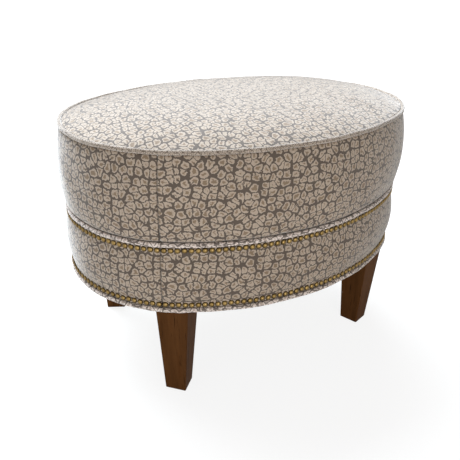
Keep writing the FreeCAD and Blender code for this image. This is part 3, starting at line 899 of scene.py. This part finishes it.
def strap_cloth():
    """Jute webbing, ribbed across."""
    shader = Shader("jute_webbing", Roughness=0.9)
    place = shader.object_place()
    threads = weave(shader, place, 0.0016)
    hairs = shader.noise(place, 500.0, 3.0, 0.6)
    jute = shader.mix(hairs, colour(186, 152, 104), colour(134, 102, 62))
    shader.set("Base Color", shader.mix(threads, colour(96, 70, 42), jute))
    shader.bump(threads, 0.0004, 0.8)
    return shader.material


def sacking():
    """Open burlap."""
    shader = Shader("burlap", Roughness=0.95)
    place = shader.cloth_place()
    threads = weave(shader, place, 0.0021)
    hairs = shader.noise(shader.scaled(place, (600.0,) * 3), 1.0, 3.0, 0.6, True)
    jute = shader.mix(hairs, colour(190, 160, 116), colour(150, 118, 78))
    shader.set("Base Color", shader.mix(threads, colour(90, 66, 40), jute))
    shader.bump(threads, 0.0005, 0.8)
    return shader.material


def soft_fibre(name, light, dark, scale, depth):
    """Loose fibre or foam: a fine uneven surface of two near colours."""
    shader = Shader(name, Roughness=0.95)
    place = shader.object_place()
    fluff = shader.noise(place, scale, 5.0, 0.65)
    shader.set("Base Color", shader.mix(fluff, light, dark))
    shader.bump(fluff, depth, 0.8)
    return shader.material


def cambric():
    """The thin black cloth under the stool."""
    shader = Shader("black_cambric", Roughness=0.88, Sheen_Weight=0.15, Sheen_Roughness=0.5)
    place = shader.cloth_place()
    threads = weave(shader, place, 0.0012)
    dust = shader.noise(shader.scaled(place, (40.0,) * 3), 1.0, 4.0, 0.6, True)
    cloth = shader.mix(dust, colour(30, 29, 29), colour(48, 46, 45))
    shader.set("Base Color", shader.mix(threads, colour(16, 16, 16), cloth))
    shader.bump(threads, 0.0003, 0.7)
    return shader.material


def twisted_cord():
    """Twisted paper cord inside the piping."""
    shader = Shader("piping_cord", Roughness=0.9)
    place = shader.object_place()
    x, y, z = shader.split(place)
    run = shader.math("ADD", shader.math("ADD", x, y), z)
    twist = shader.math("SINE", shader.math("MULTIPLY", run, 2 * math.pi / 0.003))
    shader.set("Base Color", shader.mix(twist, colour(206, 196, 176), colour(228, 220, 204)))
    shader.bump(twist, 0.0003, 0.7)
    return shader.material


# Stage

def seen_directly(tree):
    """1 for what the camera sees, by itself or in metal and glass, and 0 for other light."""
    path = tree.nodes.new("ShaderNodeLightPath").outputs
    total = path["Is Camera Ray"]
    for kind in ("Is Glossy Ray", "Is Transmission Ray"):
        either = tree.nodes.new("ShaderNodeMath")
        either.operation = "MAXIMUM"
        tree.links.new(total, either.inputs[0])
        tree.links.new(path[kind], either.inputs[1])
        total = either.outputs[0]
    return total


def make_floor():
    """A plain pale floor that shows white, keeps the stool's shadow and is clear from below."""
    reach = 40.0
    level = -0.0002
    mesh = bpy.data.meshes.new("floor")
    corners = [(-reach, -reach, level), (reach, -reach, level), (reach, reach, level)]
    mesh.from_pydata(corners + [(-reach, reach, level)], [], [(0, 1, 2, 3)])
    floor = bpy.data.objects.new("floor", mesh)
    bpy.context.collection.objects.link(floor)
    shader = Shader("pale_floor", Roughness=0.9, Specular_IOR_Level=0.1)
    shader.set("Base Color", colour(205, 204, 202))
    light = shader.node("Emission", {"Color": (1, 1, 1, 1), "Strength": 1.24})
    seen = seen_directly(shader.tree)
    away = shader.node("VectorMath", {0: shader.object_place()}, operation="LENGTH")
    clear_of_stool = shader.step(away.outputs["Value"], 0.5, 2.0)
    faded = shader.math("MULTIPLY_ADD", clear_of_stool, 0.3, 0.7)
    share = shader.math("MULTIPLY", seen, faded)
    both = shader.node(
        "MixShader", {0: share, 1: shader.surface.outputs[0], 2: light.outputs[0]}
    )
    below = shader.node("NewGeometry").outputs["Backfacing"]
    clear = shader.node("BsdfTransparent")
    whole = shader.node("MixShader", {0: below, 1: both.outputs[0], 2: clear.outputs[0]})
    output = shader.tree.nodes["Material Output"]
    shader.tree.links.new(whole.outputs[0], output.inputs["Surface"])
    mesh.materials.append(shader.material)


def make_world():
    """A weak, slightly cool light from all round, that shows as plain white."""
    world = bpy.data.worlds.new("studio")
    bpy.context.scene.world = world
    world.use_nodes = True
    tree = world.node_tree
    lit = tree.nodes["Background"]
    lit.inputs["Color"].default_value = (0.97, 0.98, 1.0, 1.0)
    lit.inputs["Strength"].default_value = 0.17
    seen = tree.nodes.new("ShaderNodeBackground")
    seen.inputs["Strength"].default_value = 1.0
    seen.inputs["Color"].default_value = (1, 1, 1, 1)
    mix = tree.nodes.new("ShaderNodeMixShader")
    tree.links.new(seen_directly(tree), mix.inputs[0])
    tree.links.new(lit.outputs[0], mix.inputs[1])
    tree.links.new(seen.outputs[0], mix.inputs[2])
    tree.links.new(mix.outputs[0], tree.nodes["World Output"].inputs["Surface"])


def make_lamp(name, place, size, power, tint, aim):
    """A soft rectangular lamp at a place, turned to its aim."""
    lamp = bpy.data.lights.new(name, "AREA")
    lamp.shape = "RECTANGLE"
    lamp.size, lamp.size_y = size
    lamp.energy = power
    lamp.color = tint
    thing = bpy.data.objects.new(name, lamp)
    thing.location = place
    thing.rotation_mode = "QUATERNION"
    thing.rotation_quaternion = (Vector(aim) - Vector(place)).to_track_quat("-Z", "Y")
    bpy.context.collection.objects.link(thing)


def make_lamps():
    """A large cool lamp overhead and behind, a warm one low in front and a weak one at left."""
    seat = (0.0, 0.0, 0.3)
    make_lamp("overhead", (0.0, 1.5, 2.2), (2.6, 2.0), 246.0, (0.84, 0.92, 1.0), seat)
    make_lamp("left_fill", (-2.6, -0.9, 0.7), (1.2, 1.0), 9.0, (0.94, 0.97, 1.0), seat)
    make_lamp("front_key", (-0.8, -2.8, 0.55), (1.2, 0.8), 41.0, (1.0, 0.95, 0.89), seat)


def make_camera():
    """The photograph's view: low and from the front left, a little off centre."""
    azimuth = math.radians(-29.995)
    elevation = math.radians(25.961)
    roll = math.radians(0.085)
    distance = 1.043
    target = Vector((-0.0458, 0.0322, 0.1782))
    picture = 460
    focal_pixels = 557.156
    middle_x = 204.838
    middle_y = 227.461
    data = bpy.data.cameras.new("camera")
    data.sensor_width = 36.0
    data.lens = focal_pixels / picture * data.sensor_width
    data.shift_x = (picture / 2 - middle_x) / picture
    data.shift_y = (middle_y - picture / 2) / picture
    back = Vector((
        math.sin(azimuth) * math.cos(elevation),
        -math.cos(azimuth) * math.cos(elevation),
        math.sin(elevation),
    ))
    camera = bpy.data.objects.new("camera", data)
    bpy.context.collection.objects.link(camera)
    camera.location = target + back * distance
    camera.rotation_mode = "QUATERNION"
    facing = (-back).to_track_quat("-Z", "Y").to_matrix().to_4x4()
    camera.rotation_quaternion = (facing @ Matrix.Rotation(roll, 4, "Z")).to_quaternion()
    bpy.context.scene.camera = camera


# Putting it together

def place_piece(piece, material, slot, *nodes):
    """Gives a piece its material, on the one body, in place of the named nodes. slot is not used."""
    piece.data.materials.append(material)
    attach(piece, "root")
    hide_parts(*nodes)
    return piece


def dress(material, *starts):
    """Gives a material to every model node whose name starts with one of these."""
    for name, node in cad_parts.items():
        if name.startswith(starts):
            for place in node.material_slots:
                place.material = material


def make_covers(cloth, edging, piping):
    """The side covers in halves, the top panel and three rows of piping."""
    halves = (("front", seam_angle), ("rear", seam_angle + math.pi))
    for half, start in halves:
        piece = half_cover("boxing_" + half, start, boxing_path(), boxing_form)
        place_piece(piece, cloth, "cover", "seat_boxing_" + half)
    for half, start in halves:
        piece = half_cover("apron_" + half, start, apron_path(), apron_form)
        place_piece(piece, cloth, "cover", "apron_cover_" + half)
    top = place_piece(make_top_panel(), cloth, "cover", "seat_top_panel")
    for name, row, out, level, material in (
        ("top_piping", 1, top_welt_out, top_row, edging),
        ("mid_piping", 2, mid_welt_out, mid_row, piping),
        ("bottom_piping", 3, bottom_welt_out, bottom_row, piping),
    ):
        welt = make_welt(name, row, out, level)
        place_piece(welt, material, "cover", name.replace("piping", "welt"))


def make_fillings():
    """The foam, the batting round it and the apron's padding."""
    foam = soft_fibre("seat_foam", colour(238, 226, 182), colour(220, 204, 152), 900.0, 0.0004)
    fluff = soft_fibre("fibre_batting", colour(244, 243, 240), colour(220, 219, 215), 240.0, 0.0012)
    inside = make_filling("foam_block", cover + batting + 2 * gap, False)
    place_piece(inside, foam, "foam", "seat_foam")
    wrap = make_filling("batting_wrap", cover + gap, True)
    place_piece(wrap, fluff, "batting", "seat_batting")
    pad = make_apron_padding()
    place_piece(pad, fluff, "batting", "apron_padding")


def make_cloths():
    """The burlap deck under the foam and the dust cover under the stool."""
    deck = make_cloth("burlap", "burlap_deck", 0.0, 0.0, 81)
    place_piece(deck, sacking(), "webbing", "burlap_deck")
    under = make_cloth("dust_cloth", "dust_cover", 0.002, 0.0005, 82)
    place_piece(under, cambric(), "dust_cloth", "dust_cover")


def main():
    scene = bpy.context.scene
    scene.view_settings.view_transform = "Standard"
    make_camera()
    make_world()
    make_lamps()
    make_floor()
    cloth = spotted_cloth(
        "spotted_cloth", 0.0114, colour(188, 173, 157), colour(90, 80, 72), colour(132, 113, 93)
    )
    # The piping's cloth: the cover's print in paler colours, partly its own pale look and partly
    # painted light for the sheen on the round piping.
    piping = spotted_cloth(
        "piping_cloth", 0.0096, colour(244, 232, 224), colour(116, 106, 100), colour(186, 170, 158)
    )
    edging = spotted_cloth(
        "edging_cloth", 0.0042, colour(200, 187, 174), colour(106, 94, 83), colour(146, 131, 116)
    )
    make_covers(cloth, edging, piping)
    make_fillings()
    make_cloths()
    brass = antique_brass()
    upper = make_nails("upper_nail_row", 1, upper_nail_row)
    place_piece(upper, brass, "nail_brass", "upper_nails")
    lower = make_nails("lower_nail_row", 2, lower_nail_row)
    place_piece(lower, brass, "nail_brass", "lower_nails")
    dress(walnut(), "leg_front", "leg_rear")
    dress(plywood(), "base_ring", "deck_ring", "apron_band")
    dress(pine(), "leg_block", "frame_post")
    dress(zinc(), "hanger_bolts", "tee_nuts", "frame_screws", "webbing_staples", "dust_cover_staples")
    dress(strap_cloth(), "webbing_long", "webbing_cross")
    dress(twisted_cord(), "top_welt_cord", "mid_welt_cord", "bottom_welt_cord")


main()
